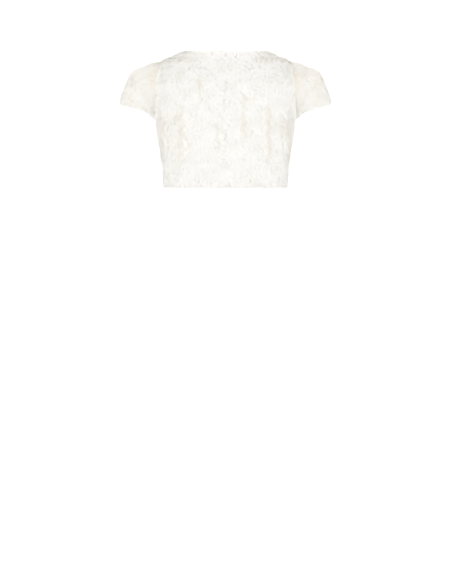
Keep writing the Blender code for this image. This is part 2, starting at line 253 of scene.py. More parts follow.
@dataclass
class BodyForm:
    """Inside of the worn body as level sections, with its hem, armholes and neckline."""

    hem_side: float = -0.3125
    hem_back_dip: float = 0.0057
    underarm: float = -0.138
    shoulder_tip: float = -0.012
    neck_point: float = 0.0175
    neck_back_dip: float = 0.0048
    neck_dip_starts: float = -0.060
    armhole_back: float = 0.052
    armhole_front: float = 0.050
    least_depth: float = 0.0001
    seam_half_gap: float = 0.00015
    probe: float = 0.0004
    hem_rows: float = 12.0
    armhole_rows: float = 16.0
    shoulder_rows: float = 4.0
    sections: tuple = (
        Section(-0.330, 0.1425, 0.0935, 0.1120, 2.3),
        Section(-0.245, 0.1475, 0.0980, 0.1180, 2.3),
        Section(-0.195, 0.1550, 0.1040, 0.1210, 2.3),
        Section(-0.140, 0.1630, 0.1090, 0.1180, 2.4),
        Section(-0.100, 0.1690, 0.1090, 0.1100, 2.7),
        Section(-0.060, 0.1700, 0.1040, 0.0990, 2.7),
        Section(-0.030, 0.1630, 0.0960, 0.0860, 2.3),
        Section(-0.012, 0.1552, 0.0890, 0.0760, 1.95),
        Section(0.002, 0.1285, 0.0830, 0.0680, 1.9),
        Section(0.0175, 0.0985, 0.0760, 0.0600, 2.0),
    )

    def __post_init__(self) -> None:
        """Lay curves through the sections."""
        self.columns = curves(self.sections)

    @property
    def rows(self) -> float:
        """Rows from the hem to the neck point."""
        return self.hem_rows + self.armhole_rows + self.shoulder_rows

    @property
    def armhole_ends(self) -> tuple[float, float]:
        """How far up the panels the armhole begins and ends, from 0 to 1."""
        return self.hem_rows / self.rows, (self.hem_rows + self.armhole_rows) / self.rows

    def section(self, height: Array) -> Section:
        """Sections at these heights."""
        return Section(height, *(column(height) for column in self.columns))

    def point(self, angle: Array, height: Array) -> Array:
        """Find points on the inside of the cloth.

        Args:
            angle: Turn round the body: 0 is centre back, a right angle the right side.
            height: Height of each point.

        Returns:
            The points, one row each.
        """
        cut = self.section(height)
        power = 2.0 / cut.squareness
        sine, cosine = np.sin(angle), np.cos(angle)
        depth = np.where(cosine > 0.0, cut.back, cut.front)
        x = np.sign(sine) * cut.half_width * np.abs(sine) ** power
        y = -np.sign(cosine) * depth * np.abs(cosine) ** power
        return np.stack((x, y, height), axis=-1)

    def level(self, points: Array) -> Array:
        """Tell how far out points lie.

        Args:
            points: Points anywhere near the body.

        Returns:
            1 on the inside of the cloth, less within it and more outside.
        """
        x, y = points[..., 0], points[..., 1]
        cut = self.section(points[..., 2])
        depth = np.where(y < 0.0, cut.back, cut.front)
        sideways = np.abs(x / cut.half_width) ** cut.squareness
        return sideways + np.abs(y / depth) ** cut.squareness

    def normal(self, points: Array) -> Array:
        """Directions out of the cloth at points on its inside."""
        pairs = [(points + step, points - step) for step in self.probe * np.eye(3)]
        return unit(np.stack([self.level(a) - self.level(b) for a, b in pairs], axis=-1))

    def angle_at_depth(self, height: Array, depth: Array, front: bool) -> Array:
        """Find where the right side of a section is this deep.

        Args:
            height: Height of the section.
            depth: Distance behind or in front of the middle plane.
            front: Whether the place is in front of it.

        Returns:
            Angle round the body.
        """
        cut = self.section(height)
        reach = cut.front if front else cut.back
        cosine = np.minimum(depth / reach, 1.0) ** (cut.squareness / 2.0)
        return np.arccos(-cosine if front else cosine)

    def angle_at_out(self, height: Array, out: Array) -> Array:
        """Find where the front of a section is this far out.

        Args:
            height: Height of the section.
            out: Distance to the right of the middle.

        Returns:
            Angle round the body.
        """
        cut = self.section(height)
        sine = np.minimum(out / cut.half_width, 1.0) ** (cut.squareness / 2.0)
        return math.pi - np.arcsin(sine)

    def armhole_height(self, turn: Array) -> Array:
        """Height on the armhole: turn 0 is its top, a half turn its bottom."""
        middle = (self.shoulder_tip + self.underarm) / 2.0
        return middle + (self.shoulder_tip - self.underarm) / 2.0 * np.cos(turn)

    def armhole_point(self, turn: Array) -> Array:
        """Find points on the inside edge of the right armhole.

        Args:
            turn: Turn round the armhole, behind for the first half.

        Returns:
            The points.
        """
        height = self.armhole_height(turn)
        sine = np.abs(np.sin(turn))
        behind = np.maximum(self.armhole_back * sine, self.least_depth)
        before = np.maximum(self.armhole_front * sine, self.least_depth)
        back = self.angle_at_depth(height, behind, False)
        front = self.angle_at_depth(height, before, True)
        return self.point(np.where(turn > math.pi, front, back), height)

    def up_armhole(self, row: Array) -> Array:
        """How far up the armhole a row is, held at 0 and 1 beyond it."""
        return np.clip((row - self.hem_rows) / self.armhole_rows, 0.0, 1.0)

    def above_armhole(self, row: Array) -> Array:
        """How far a row is from the armhole's top to the neck point, less than 0 below."""
        return (row - self.hem_rows - self.armhole_rows) / self.shoulder_rows

    def row_turn(self, row: Array) -> Array:
        """Turn on the armhole for a row, held at its ends beyond it."""
        return math.pi * (1.0 - self.up_armhole(row))

    def row_height(self, row: Array) -> Array:
        """Find how high a row starts.

        Args:
            row: Row of a body panel, counted from the hem.

        Returns:
            Height of the row at the panel's side.
        """
        low = self.hem_side + (self.underarm - self.hem_side) * row / self.hem_rows
        above = self.above_armhole(row)
        high = self.shoulder_tip + (self.neck_point - self.shoulder_tip) * above
        middle = self.armhole_height(self.row_turn(row))
        return np.where(row < self.hem_rows, low, np.where(above > 0.0, high, middle))

    def side_depth(self, row: Array, front: bool) -> Array:
        """How deep behind or in front of the middle plane a row's outer end lies."""
        depth = self.armhole_front if front else self.armhole_back
        return np.maximum(depth * np.sin(self.row_turn(row)), self.seam_half_gap)

    def on_armhole(self, row: Array) -> Array:
        """1 for rows that end on the armhole, falling softly to 0 beyond it."""
        below = soft_step(self.hem_rows + self.armhole_rows + 1.0 - row)
        return soft_step(row - self.hem_rows + 1.0) * below


@dataclass
class SleeveForm:
    """Inside of the right sleeve as rings from the armhole to its hem."""

    body: BodyForm = field(default_factory=BodyForm)
    step: float = 0.025
    rings: tuple = (
        Ring(0.00, 0.1552, -0.0120, 0.1630, -0.1380, 0.0520, 0.0500, 0.000, 0.000),
        Ring(0.12, 0.1740, -0.0115, 0.1648, -0.1368, 0.0540, 0.0520, 0.000, 0.000),
        Ring(0.32, 0.2030, -0.0205, 0.1683, -0.1345, 0.0570, 0.0550, 0.001, 0.000),
        Ring(0.46, 0.2255, -0.0290, 0.1705, -0.1325, 0.0585, 0.0570, 0.002, 0.000),
        Ring(0.56, 0.2345, -0.0410, 0.1722, -0.1310, 0.0590, 0.0575, 0.003, -0.001),
        Ring(0.72, 0.2440, -0.0640, 0.1746, -0.1290, 0.0585, 0.0575, 0.005, -0.002),
        Ring(0.88, 0.2530, -0.0870, 0.1768, -0.1268, 0.0575, 0.0570, 0.007, -0.002),
        Ring(1.00, 0.2575, -0.1055, 0.1785, -0.1248, 0.0565, 0.0565, 0.008, -0.002),
    )

    def __post_init__(self) -> None:
        """Lay curves through the rings."""
        self.columns = curves(self.rings)

    def ring_point(self, turn: Array, share: Array) -> Array:
        """Find points on rings of the sleeve before they meet the armhole.

        Args:
            turn: Turn round the sleeve: 0 is its top, the first half behind.
            share: How far each ring is from the armhole to the hem.

        Returns:
            The points.
        """
        ring = Ring(share, *(column(share) for column in self.columns))
        rise = (1.0 + np.cos(turn)) / 2.0
        sine = np.sin(turn)
        behind = sine > 0.0
        x = ring.under_out + (ring.top_out - ring.under_out) * rise
        y = -np.where(behind, ring.back, ring.front) * sine
        z = ring.under_height + (ring.top_height - ring.under_height) * rise
        drop = np.where(behind, ring.back_drop, ring.front_drop) * np.abs(sine)
        return np.stack((x, y, z - drop), axis=-1)

    def point(self, turn: Array, share: Array) -> Array:
        """Points on the inside of the sleeve."""
        fit = self.body.armhole_point(turn % FULL_TURN) - self.ring_point(turn, 0.0 * share)
        return self.ring_point(turn, share) + scaled(fit, (1.0 - share) ** 2)

    def normal(self, turn: Array, share: Array) -> Array:
        """Find directions out of the sleeve's cloth.

        Args:
            turn: Turn round the sleeve.
            share: Share of the way to the hem.

        Returns:
            The directions.
        """
        step = self.step
        around = self.point(turn + step, share) - self.point(turn - step, share)
        far, near = np.minimum(share + step, 1.0), np.maximum(share - step, 0.0)
        return unit(np.cross(around, self.point(turn, far) - self.point(turn, near)))

    def mitre(self, turn: Array) -> Array:
        """Find the way through the wall that body and sleeve share on the armhole.

        Args:
            turn: Turn round the armhole.

        Returns:
            The way out, per metre of wall.
        """
        body = self.body.normal(self.body.armhole_point(turn))
        middle = unit(body + self.normal(turn, 0.0 * turn))
        return scaled(middle, 1.0 / (middle * body).sum(axis=-1))


@dataclass(frozen=True)
class Relief:
    """How far the pile rises or sinks over the body: partings, slow lumps and the ledge."""

    partings: tuple
    full: float = 0.6
    fade: float = 0.6
    ledge_height: float = -0.243
    ledge_step: float = 0.0014
    ledge_softness: float = 0.008
    # Half widths of the painted shade along the partings: a narrow dark line and a broad band.
    parting_line_width: float = 0.0026
    parting_band_width: float = 0.014
    sway_length: float = 0.031
    sway_start: float = 40.0
    ripple: float = 0.5
    ripple_pace: float = 2.3
    pit_length: float = 0.023
    pit_start: float = 90.0
    pit_depth: float = 0.45
    lumps: tuple = (
        Lump(0.0007, 0.083, 0.061, 0.4),
        Lump(0.0005, 0.047, 0.072, 2.1),
        Lump(0.0005, 0.061, 0.039, 4.0),
    )

    def ends(self, parting: Parting, height: Array) -> Array:
        """Fade a parting past its ends.

        Args:
            parting: The parting.
            height: Heights beside it.

        Returns:
            1 along the parting, falling to 0 past its ends.
        """
        middle = (parting.top + parting.bottom) / 2.0
        half_length = (parting.top - parting.bottom) / 2.0
        from_middle = np.abs(height - middle) / half_length
        return 1.0 - soft_step((from_middle - self.full) / self.fade)

    def beside(self, parting: Parting, points: Array) -> Array:
        """Measure out from a parting.

        Args:
            parting: The parting.
            points: Points on the body.

        Returns:
            Distance of each point to the right of the parting's wandering line.
        """
        turn = FULL_TURN * points[..., 2] / self.sway_length + self.sway_start * parting.out
        wander = np.sin(turn) + self.ripple * np.sin(self.ripple_pace * turn)
        return points[..., 0] - parting.out - parting.sway * wander

    def summed(self, points: Array, amount: Callable[[Parting, Array], Array]) -> Array:
        """Add up what the partings do.

        Args:
            points: Points on the body.
            amount: What a parting does at distances beside it.

        Returns:
            The sum at each point, faded past the ends of each parting.
        """
        total = np.zeros(points.shape[:-1])
        for parting in self.partings:
            beside = self.beside(parting, points)
            total += amount(parting, beside) * self.ends(parting, points[..., 2])
        return total

    def pits(self, parting: Parting, height: Array) -> Array:
        """Depth of a parting at these heights: it is deeper in pits along its line."""
        turn = FULL_TURN * height / self.pit_length + self.pit_start * parting.out
        return parting.depth * (1.0 + self.pit_depth * np.sin(turn))

    def trough(self, points: Array) -> Array:
        """How far the pile sinks at the partings."""
        return self.summed(
            points,
            lambda parting, beside: self.pits(parting, points[..., 2])
            * bell(beside, parting.half_width),
        )

    def spread(self, points: Array) -> Array:
        """Way that the pile is combed apart at its partings: 1 to the right, -1 to the left."""
        total = self.summed(points, lambda parting, out: swell(out / parting.half_width))
        return np.clip(total, -1.0, 1.0)

    def close(self, points: Array, width: float) -> Array:
        """Tell how near points are to the line of a parting.

        Args:
            points: Points on the body.
            width: Half width of the strip along the line.

        Returns:
            0 to 1 at each point, most at the first and deepest partings.
        """
        first = self.partings[0].depth
        total = self.summed(
            points, lambda parting, beside: parting.depth / first * bell(beside, width)
        )
        return np.clip(total, 0.0, 1.0)

    def rise(self, points: Array) -> Array:
        """Raise the pile's surface over the lumps and the ledge.

        Args:
            points: Points on the body.

        Returns:
            How far the surface is raised at each.
        """
        x, z = points[..., 0], points[..., 2]
        total = np.zeros(x.shape)
        for lump in self.lumps:
            across = np.cos(FULL_TURN * x / lump.across)
            total += lump.rise * across * np.sin(FULL_TURN * z / lump.up + lump.start)
        step = soft_step((z - self.ledge_height) / self.ledge_softness + 0.5)
        return total + self.ledge_step * (step - 0.5)


BACK_RELIEF = Relief(
    (
        Parting(-0.104, -0.110, -0.250, 0.0038),
        Parting(0.102, -0.110, -0.250, 0.0038),
        Parting(0.044, -0.080, -0.215, 0.0026),
        Parting(-0.018, -0.160, -0.225, 0.0024),
        Parting(-0.140, -0.120, -0.225, 0.0028),
        Parting(0.140, -0.120, -0.225, 0.0028),
        Parting(-0.062, -0.045, -0.110, 0.0018),
    )
)
FRONT_RELIEF = Relief(
    (
        Parting(0.118, -0.120, -0.240, 0.0036),
        Parting(0.078, -0.150, -0.260, 0.0030),
    )
)


class Recipe:
    """Shader nodes of one material or world."""

    def __init__(self, owner: bpy.types.Material | bpy.types.World) -> None:
        """Start from the owner's first nodes.

        Args:
            owner: The material or world.
        """
        owner.use_nodes = True
        self.owner = owner
        self.tree = owner.node_tree

    def fill(self, node: bpy.types.Node, inputs: dict) -> bpy.types.Node:
        """Set or link a node's inputs.

        Args:
            node: The node.
            inputs: Value of each input by its name or number, or the output it is linked to.

        Returns:
            The same node.
        """
        for name, value in inputs.items():
            if isinstance(value, bpy.types.NodeSocket):
                self.tree.links.new(value, node.inputs[name])
            else:
                node.inputs[name].default_value = value
        return node

    def add(self, kind: str, inputs: dict | None = None, **options: str) -> bpy.types.Node:
        """Add a node.

        Args:
            kind: Its type, without the start that all types share.
            inputs: Values and links of its inputs.
            options: Its own options.

        Returns:
            The new node.
        """
        node = self.tree.nodes.new("ShaderNode" + kind)
        for name, value in options.items():
            setattr(node, name, value)
        return self.fill(node, inputs or {})

    def noise(self, scale: float, detail: float = 2.0) -> bpy.types.NodeSocket:
        """Add soft noise that stays with the piece.

        Args:
            scale: Its scale in Object coordinates.
            detail: Its finer layers.

        Returns:
            The noise.
        """
        place = self.add("TexCoord").outputs["Object"]
        noise = self.add("TexNoise", {"Vector": place, "Scale": scale, "Detail": detail})
        return noise.outputs["Fac"]

    def ramp(
        self,
        share: bpy.types.NodeSocket,
        colours: tuple,
        ends: tuple = (0.0, 1.0),
        blend: str = "LINEAR",
    ) -> bpy.types.NodeSocket:
        """Add a ramp from one colour to another.

        Args:
            share: What the ramp follows.
            colours: Its first and last colour.
            ends: Where the two stand.
            blend: How it runs between them.

        Returns:
            The ramp's colour.
        """
        node = self.add("ValToRGB", {"Fac": share})
        node.color_ramp.interpolation = blend
        for element, place, colour in zip(node.color_ramp.elements, ends, colours):
            element.position, element.color = place, (*colour, 1.0)
        return node.outputs["Color"]

    def material(self, inputs: dict) -> bpy.types.Material:
        """The material, with its surface's inputs filled."""
        self.fill(self.tree.nodes["Principled BSDF"], inputs)
        return self.owner


@dataclass(frozen=True)
class PileFinish:
    """Ivory pile: duller and warmer at the roots, near white at the tips, with painted shade
    multiplied in.
    """

    name: str
    # Colour of painted shade, multiplied in as far as the strands' shade attribute goes.
    painted_shade_colour: tuple
    tip: tuple = (0.975, 0.969, 0.950)
    root: tuple = (0.93, 0.915, 0.885)
    tip_starts: float = 0.62
    roughness: float = 0.85
    sheen: float = 0.35
    sheen_roughness: float = 0.5
    specular: float = 0.25

    def material(self) -> bpy.types.Material:
        """Mix the pile's colour, with its painted shade, from the strands' own attributes.

        Returns:
            The new material.
        """
        recipe = Recipe(bpy.data.materials.new(self.name))
        along, shade = (
            recipe.add("Attribute", attribute_name=name).outputs["Fac"]
            for name in ("along", "shade")
        )
        plain = recipe.ramp(along, (self.root, self.tip), (0.0, self.tip_starts), "EASE")
        # Multiply the painted shade colour in by the shade attribute.
        mix = {"Factor": shade, "A": plain, "B": (*self.painted_shade_colour, 1.0)}
        painted_shade_mix = recipe.add("Mix", mix, data_type="RGBA", blend_type="MULTIPLY")
        return recipe.material(
            {
                "Base Color": painted_shade_mix.outputs["Result"],
                "Roughness": self.roughness,
                "Sheen Weight": self.sheen,
                "Sheen Roughness": self.sheen_roughness,
                "Specular IOR Level": self.specular,
            }
        )


@dataclass(frozen=True)
class BackingFinish:
    """Backing cloth: felted underfur outside, a fine even weave inside."""

    name: str
    colour: tuple
    scale: float
    bump: float
    weave: bool = False
    dark: tuple = (0.86, 0.84, 0.79)
    ramp_ends: tuple = (0.3, 0.7)
    detail: float = 4.0
    strength: float = 0.5
    threads: float = 170.0
    unevenness: float = 0.6
    roughness: float = 0.9
    sheen: float = 0.25
    specular: float = 0.25

    def woven(self, recipe: Recipe) -> bpy.types.NodeSocket:
        """Cross two sets of threads on the backing's own map.

        Args:
            recipe: Nodes of the material.

        Returns:
            Height of the weave.
        """
        cloth = recipe.add("UVMap", uv_map="cloth").outputs["UV"]
        wave = {"Vector": cloth, "Scale": self.threads, "Distortion": self.unevenness}
        across, along = (
            recipe.add("TexWave", wave, wave_type="BANDS", bands_direction=way).outputs["Fac"]
            for way in ("X", "Y")
        )
        crossed = recipe.add("Math", {0: across, 1: along}, operation="MULTIPLY")
        return crossed.outputs["Value"]

    def material(self) -> bpy.types.Material:
        """Mix the cloth's colour and relief from its own map and place.

        Returns:
            The new material.
        """
        recipe = Recipe(bpy.data.materials.new(self.name))
        cloud = recipe.noise(self.scale, self.detail)
        height = self.woven(recipe) if self.weave else cloud
        relief = {"Strength": self.strength, "Distance": self.bump, "Height": height}
        return recipe.material(
            {
                "Base Color": recipe.ramp(cloud, (self.dark, self.colour), self.ramp_ends),
                "Roughness": self.roughness,
                "Sheen Weight": self.sheen,
                "Specular IOR Level": self.specular,
                "Normal": recipe.add("Bump", relief).outputs["Normal"],
            }
        )


# Warm greys of painted shade for the body's and the sleeves' pile.
BODY_PILE = PileFinish("body_pile", painted_shade_colour=(0.945, 0.925, 0.885))
SLEEVE_PILE = PileFinish("sleeve_pile", painted_shade_colour=(0.985, 0.962, 0.91))
UNDERFUR = BackingFinish("underfur", colour=(0.93, 0.91, 0.87), scale=260.0, bump=0.0012)
LINING = BackingFinish(
    "woven_backing", colour=(0.89, 0.87, 0.82), scale=28.0, bump=0.0004, weave=True
)


@dataclass(frozen=True)
class PileStyle:
    """How the strands of one kind of pile are grown, with the ranges of its random draws."""

    reach: float = 0.0125
    width: float = 0.0011
    curl: float = 0.0010
    gather: float = 0.19
    flyaway: float = 0.05
    turn_wander: float = 0.18
    turn_tuft: float = 0.20
    turn_strand: float = 0.27
    parting_turn: float = 0.9
    tuft_spacing: float = 0.0054
    least_rise: float = 0.0010
    sunk: float = 0.0008
    overhang: float = 0.0018
    least_ahead: float = 0.05
    hang: float = 0.006
    stray_rise: tuple = (0.001, 0.005)
    stray_gather: float = 0.15
    tuft_reach: tuple = (0.75, 1.2)
    tuft_rise: tuple = (0.86, 1.05)
    strand_reach: tuple = (0.70, 1.12)
    strand_rise: tuple = (0.76, 1.02)
    strand_gather: tuple = (0.75, 1.2)
    strand_width: tuple = (0.8, 1.25)
    lean_power: float = 1.35
    rise_power: float = 2.1
    hang_power: float = 1.5
    gather_power: float = 1.2
    curl_turn: float = 5.0
    curl_spread: float = 0.5
    face_turn: float = 0.10
    narrowing: float = 0.35
    tone_tuft: float = 0.18
    tone_middle: float = 0.35
    tone_wander: float = 0.10
    wander_lengths: tuple = (0.055, 0.021)
    wander_shares: tuple = (0.6, 0.5)
    tone_length: float = 0.035


BODY_STYLE = PileStyle()
SLEEVE_STYLE = PileStyle(
    reach=0.0105,
    width=0.0010,
    curl=0.0007,
    gather=0.24,
    flyaway=0.04,
    turn_wander=0.16,
    turn_tuft=0.16,
    turn_strand=0.20,
    parting_turn=0.0,
)


@dataclass(kw_only=True)
class Panel(ABC):
    """One cut piece of the jacket: its inside surface over a square of across and up."""

    name: str
    side: Side
    flat: tuple
    area: float
    across_steps: int
    up_steps: int
    free: tuple
    style: PileStyle
    finish: PileFinish
    strands: int
    bands: tuple = ("",)
    marks: tuple = ()
    tube: bool = False
    pile_depth: float = 0.0042
    rim: float = 0.0030
    taper: float = 0.0080
    roll: float = 0.0
    roll_width: float = 0.0050
    edge_thinning: float = 0.16
    edge_width: float = 0.0060
    even_one: float = 0.40
    even_both: float = 0.35
    scatter_cells: int = 72

    @abstractmethod
    def inside(self, at: Places) -> Array:
        """Inside points at these places, on the right side."""

    @abstractmethod
    def through(self, at: Places) -> Array:
        """Way out through the wall, per metre of its thickness."""

    @abstractmethod
    def comb(self, at: Places, normal: Array) -> Array:
        """Direction in which the pile is combed, along the cloth."""

    @abstractmethod
    def room(self, at: Places) -> Array:
        """How far the pile may run towards the hem before it passes it."""

    @abstractmethod
    def surface(self, at: Places) -> Array:
        """Height of the pile's surface over the inside, but for its partings."""

    @abstractmethod
    def upright(self, at: Places) -> Array:
        """Share of its reach that the pile gives up where it stands upright."""

    @abstractmethod
    def shade(self, at: Places) -> Array:
        """How much painted shade the pile takes, from 0 to 1."""

    def trough(self, at: Places) -> Array:
        """How far the pile sinks at its partings."""
        return np.zeros_like(at.up)

    def spread(self, points: Array) -> Array:
        """Way that the pile is combed apart at its partings: 1 to the right, -1 to the left."""
        return np.zeros(len(points))

    def ahead(self, way: Array, comb: Array) -> Array:
        """Share of each strand's run that takes it towards the hem."""
        return (way * comb).sum(axis=-1)

    @property
    def mirror(self) -> Array:
        """Scales that carry a point of the right side to this panel's side."""
        return np.array((-1.0 if self.side is Side.LEFT else 1.0, 1.0, 1.0))

    def to_edge(self, edge: Edge, at: Places) -> Array:
        """Measure from places to an edge of the panel.

        Args:
            edge: The edge.
            at: Places on the panel.

        Returns:
            Distance of each place in metres.
        """
        if edge is Edge.END:
            there = at._replace(across=np.ones_like(at.across))
        else:
            there = at._replace(up=np.full_like(at.up, float(edge is Edge.HIGH)))
        return np.linalg.norm(self.inside(there) - self.inside(at), axis=-1)

    def grid(self, across: Array, up: Array) -> Places:
        """Grid of places over the panel, row by row."""
        rows, columns = np.meshgrid(up, across, indexing="ij")
        return Places(columns.ravel(), rows.ravel())

    def steps(self, count: int, *ends: Edge) -> Array:
        """Step from 0 to 1, closer together towards the ends that hang free.

        Args:
            count: Number of steps.
            ends: Edges where the steps begin and end, or where they end.

        Returns:
            The places between the steps.
        """
        even = np.linspace(0.0, 1.0, count + 1)
        free = sum(edge in self.free for edge in ends)
        if free == 2:
            return self.even_both * even + (1.0 - self.even_both) * soft_step(even)
        if free == 1:
            return self.even_one * even + (1.0 - self.even_one) * (1.0 - (1.0 - even) ** 2)
        return even

    def lattice(self) -> Places:
        """Lay out the backing's points, with a row on each mark where its outline turns.

        Returns:
            Their places, row by row.
        """
        up = self.steps(self.up_steps, Edge.LOW, Edge.HIGH)
        for mark in self.marks:
            up[np.abs(up - mark).argmin()] = mark
        return self.grid(self.steps(self.across_steps, Edge.END), up)

    def backing_at(self, at: Places) -> Array:
        """Find the thickness of the backing with its underfur, thin at its free edges.

        Args:
            at: Places on the panel.

        Returns:
            The thickness at each.
        """
        thick = self.surface(at) - self.pile_depth
        for edge in self.free:
            thick = thick + (self.rim - thick) * bell(self.to_edge(edge, at), self.taper)
        return thick

    def edge_share(self, at: Places) -> Array:
        """Find the share of the pile's height that is left near the free edges.

        Args:
            at: Places on the panel.

        Returns:
            The share at each.
        """
        share = np.ones_like(at.up)
        for edge in self.free:
            share -= self.edge_thinning * bell(self.to_edge(edge, at), self.edge_width)
        return share

    def rolled(self, at: Places) -> Array:
        """How far the cloth rolls outward at the neckline."""
        return self.roll * bell(self.to_edge(Edge.HIGH, at), self.roll_width)

    def scatter(self, rng: np.random.Generator, count: int) -> Places:
        """Spread places evenly over the panel's real area.

        Args:
            rng: Seeded generator.
            count: Number of places.

        Returns:
            The places.
        """
        cells = self.scatter_cells
        lines = np.linspace(0.0, 1.0, cells + 1)
        points = self.inside(self.grid(lines, lines)).reshape(cells + 1, cells + 1, 3)
        sideways = points[:-1, 1:] - points[:-1, :-1]
        upward = points[1:, :-1] - points[:-1, :-1]
        areas = np.linalg.norm(np.cross(sideways, upward), axis=-1).ravel()
        total = np.cumsum(areas) / areas.sum()
        picks = (np.arange(count) + rng.random(count)) / count
        cell = np.minimum(np.searchsorted(total, picks), len(total) - 1)
        row, column = np.divmod(cell, cells)
        across = (column + rng.random(count)) / cells
        return Places(across, (row + rng.random(count)) / cells)


@dataclass(kw_only=True)
class BodyPanel(Panel):
    """Back or front panel of the body."""

    relief: Relief
    form: BodyForm = field(default_factory=BodyForm)
    sleeve: SleeveForm = field(default_factory=SleeveForm)
    style: PileStyle = BODY_STYLE
    finish: PileFinish = BODY_PILE
    up_steps: int = 56
    roll: float = 0.0085
    thickness: float = 0.014
    mitre_width: float = 0.030
    seam_lean: float = 0.9
    seam_width: float = 0.010
    # Painted shade: in the armhole seam's valley, on the partings' lines and in a broad band
    # round them.
    seam_shade: float = 0.25
    parting_line_shade: float = 0.7
    parting_band_shade: float = 0.40
    shoulder_upright: float = 0.65
    shoulder_width: float = 0.012

    def __post_init__(self) -> None:
        """Mark the rows where the armhole begins and ends."""
        self.marks = self.form.armhole_ends

    @abstractmethod
    def seam_distance(self, at: Places) -> Array:
        """Distance along the cloth from the side of the panel, in metres."""

    @abstractmethod
    def armhole_turn(self, row: Array) -> Array:
        """Turn on the armhole where each row ends."""

    @abstractmethod
    def outward(self, at: Places) -> Array:
        """1 where the nearer armhole is to the right, -1 where it is to the left."""

    def at_seam(self, at: Places) -> Array:
        """1 on the armhole seam, falling to 0 away from it."""
        near = bell(self.seam_distance(at), self.seam_width)
        return near * self.form.on_armhole(at.up * self.form.rows)

    def upright(self, at: Places) -> Array:
        """Share of its reach that the pile gives up at the shoulder, where it parts."""
        high = soft_step(2.0 * self.form.up_armhole(at.up * self.form.rows) - 1.0)
        return self.shoulder_upright * bell(self.seam_distance(at), self.shoulder_width) * high

    def surface(self, at: Places) -> Array:
        """Height of the pile's surface over the inside, but for its partings."""
        return self.thickness * self.edge_share(at) + self.relief.rise(self.inside(at))

    def trough(self, at: Places) -> Array:
        """How far the pile sinks at its partings."""
        return self.relief.trough(self.inside(at))

    def spread(self, points: Array) -> Array:
        """Way that the pile is combed apart at its partings: 1 to the right, -1 to the left."""
        return self.relief.spread(points)

    def ahead(self, way: Array, comb: Array) -> Array:
        """Share of each strand's run that takes it down to the hem."""
        return -way[:, 2]

    def through(self, at: Places) -> Array:
        """Lead out through the wall, mitred towards the sleeve at the armhole.

        Args:
            at: Places on the panel.

        Returns:
            The way out, per metre of wall.
        """
        row = at.up * self.form.rows
        mitre = self.sleeve.mitre(self.armhole_turn(row))
        mitre[..., 0] *= self.outward(at)
        near = soft_step(1.0 - self.seam_distance(at) / self.mitre_width)
        normal = self.form.normal(self.inside(at))
        return mixed(normal, mitre, near * self.form.on_armhole(row))

    def comb(self, at: Places, normal: Array) -> Array:
        """Comb the pile down, and outward over the armhole seam.

        Args:
            at: Places on the panel.
            normal: Directions out of the cloth.

        Returns:
            The direction of the pile at each.
        """
        way = np.zeros_like(normal)
        way[..., 2] = -1.0
        way[..., 0] = self.seam_lean * self.at_seam(at) * self.outward(at)
        return along_cloth(way, normal)

    def room(self, at: Places) -> Array:
        """Drop to the hem."""
        return (self.inside(at) - self.inside(at._replace(up=0.0 * at.up)))[..., 2]

    def shade(self, at: Places) -> Array:
        """Find the painted shade of the pile in the armhole seam's valley and on and round the
        partings.

        Args:
            at: Places on the panel.

        Returns:
            The shade at each, from 0 to 1.
        """
        point = self.inside(at)
        seam = self.seam_shade * self.at_seam(at)
        parting_line = self.parting_line_shade * self.relief.close(point, self.relief.parting_line_width)
        parting_band = self.parting_band_shade * self.relief.close(point, self.relief.parting_band_width)
        return np.clip(seam + parting_line + parting_band, 0.0, 1.0)


@dataclass(kw_only=True)
class BackPanel(BodyPanel):
    """The back, cut in one."""

    name: str = "back"
    side: Side = Side.BOTH
    flat: tuple = (0.446, 0.355)
    area: float = 0.135
    across_steps: int = 64
    free: tuple = (Edge.LOW, Edge.HIGH)
    relief: Relief = BACK_RELIEF
    strands: int = 108000
    bands: tuple = ("_low", "_middle", "_high")
    half_arc: float = 0.205

    def inside(self, at: Places) -> Array:
        """Find inside points of the back.

        Args:
            at: Places on it, across from its left side to its right.

        Returns:
            The points.
        """
        form = self.form
        row = at.up * form.rows
        height = form.row_height(row)
        edge = form.angle_at_depth(height, form.side_depth(row, False), False)
        hem = form.hem_back_dip * (1.0 - soft_step(row / form.hem_rows))
        share = (height - form.neck_dip_starts) / (form.neck_point - form.neck_dip_starts)
        dip = hem + form.neck_back_dip * soft_step(share)
        way = 2.0 * at.across - 1.0
        return form.point(edge * way, height - dip * (1.0 - way * way))

    def seam_distance(self, at: Places) -> Array:
        """Distance along the cloth from the nearer side of the back."""
        return self.half_arc * (1.0 - np.abs(2.0 * at.across - 1.0))

    def armhole_turn(self, row: Array) -> Array:
        """Turn on the back half of the armhole."""
        return self.form.row_turn(row)

    def outward(self, at: Places) -> Array:
        """1 on the right half, -1 on the left half."""
        return np.sign(at.across - 0.5)


